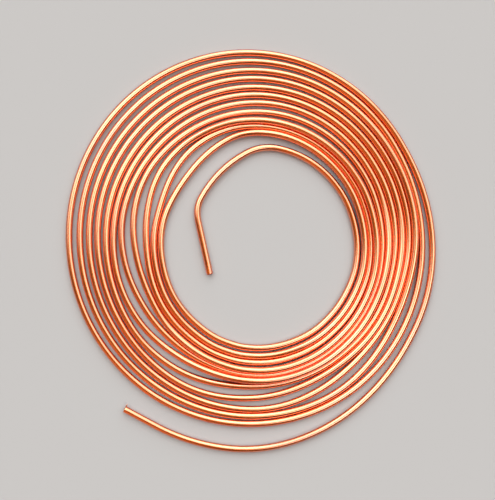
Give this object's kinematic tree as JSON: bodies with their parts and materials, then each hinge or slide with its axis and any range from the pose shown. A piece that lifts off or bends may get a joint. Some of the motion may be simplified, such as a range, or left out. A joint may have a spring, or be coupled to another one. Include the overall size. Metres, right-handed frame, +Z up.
{
  "type": "copper tube coil",
  "caption": "Flat loose spiral coil of soft small-bore copper tube, open in the middle, with one straight free end outside and one bent into the eye.",
  "frame": {"origin": "middle of the coil's footprint, on the floor that the coil lies on", "axes": "+Z up, along the coil's axis; +Y across the coil towards the side opposite the outer free end"},
  "size_m": [0.2592, 0.282, 0.0084],
  "materials": {
    "copper": "satin"
  },
  "bodies": {
    "root": {"copper_tube": "copper"}
  },
  "joints": []
}
